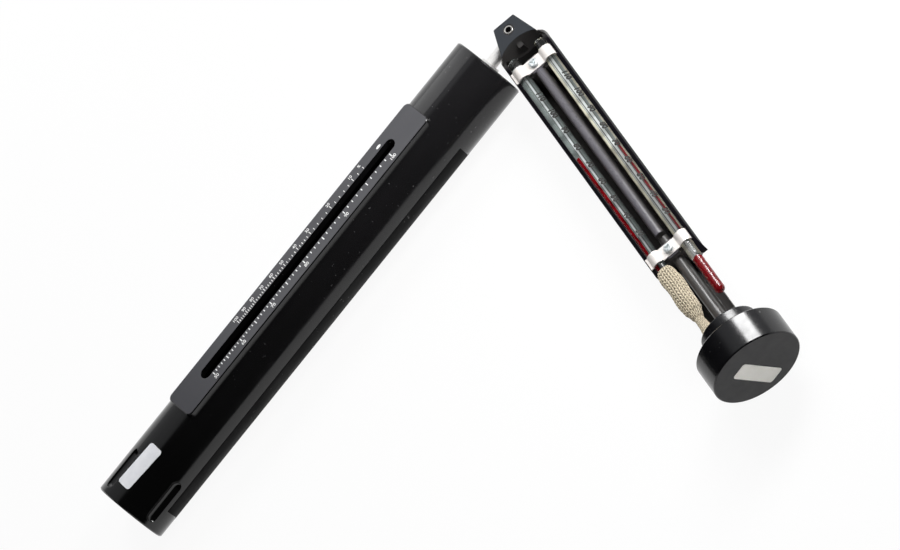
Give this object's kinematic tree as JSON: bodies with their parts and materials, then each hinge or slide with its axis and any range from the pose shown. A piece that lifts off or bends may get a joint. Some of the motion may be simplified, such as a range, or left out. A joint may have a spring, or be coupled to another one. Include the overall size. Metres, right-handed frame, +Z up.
{
  "type": "sling psychrometer",
  "caption": "Hand-whirled humidity gauge: wet-bulb and dry-bulb thermometers in a carrier that folds and spins on a rod out of a slide-rule handle tube, with a water reservoir cap.",
  "frame": {"origin": "centre of the handle tube's closed end", "axes": "+X along the tube from its closed end to its mouth, +Z up from the table that tube and cap lie on"},
  "size_m": [0.2331, 0.1884, 0.0359],
  "materials": {
    "handle_plastic": "gloss black moulding",
    "white_sticker": "bare white label stock",
    "plug_plastic": "satin black moulding",
    "slider_plastic": "dull black nylon",
    "rod_metal": "drawn, satin",
    "washer_metal": "stamped",
    "nut_metal": "zinc plated",
    "rivet_metal": "bright, rolled",
    "hinge_washer_metal": "stamped",
    "carrier_plastic": "semi-gloss black moulding",
    "thermometer_glass": "clear, fire-polished",
    "red_spirit": "clear red liquid",
    "clip_metal": "satin sheet",
    "screw_metal": "bright zinc",
    "wick_cotton": "knitted cotton, natural",
    "seal_rubber": "soft black",
    "cap_plastic": "gloss side, matt end",
    "neck_plastic": "satin black moulding",
    "cream_sticker": "bare cream label stock"
  },
  "bodies": {
    "handle": {"handle_tube": "handle_plastic", "handle_sticker": "white_sticker", "handle_end_plug": "plug_plastic", "swivel_slider": "slider_plastic"},
    "swivel": {"swivel_rod": "rod_metal", "thrust_washers": "washer_metal", "rod_nut": "nut_metal"},
    "carrier": {"carrier_body": "carrier_plastic", "hinge_rivet": "rivet_metal", "hinge_washers": "hinge_washer_metal", "dry_glass": "thermometer_glass", "dry_spirit": "red_spirit", "wet_glass": "thermometer_glass", "wet_spirit": "red_spirit", "upper_clip": "clip_metal", "upper_clip_screw": "screw_metal", "lower_clip": "clip_metal", "lower_clip_screw": "screw_metal", "wick": "wick_cotton", "reservoir_seal": "seal_rubber"},
    "reservoir_cap": {"cap_shell": "cap_plastic", "cap_neck_ring": "neck_plastic", "cap_sticker": "cream_sticker"}
  },
  "joints": [
    {"name": "whirl", "type": "hinge", "parent": "handle", "child": "swivel", "pos_m": [0.2249, 0, 0], "axis": [1, 0, 0], "continuous": true},
    {"name": "fold", "type": "hinge", "parent": "swivel", "child": "carrier", "pos_m": [0.2249, 0, 0], "axis": [0, 0.0222, 0.9998], "range_deg": [-1.5, 208.5]},
    {"name": "cap_pull", "type": "slide", "parent": "carrier", "child": "reservoir_cap", "axis": [-0.2334, -0.9721, 0.0216], "range_m": [0, 0.02]}
  ]
}
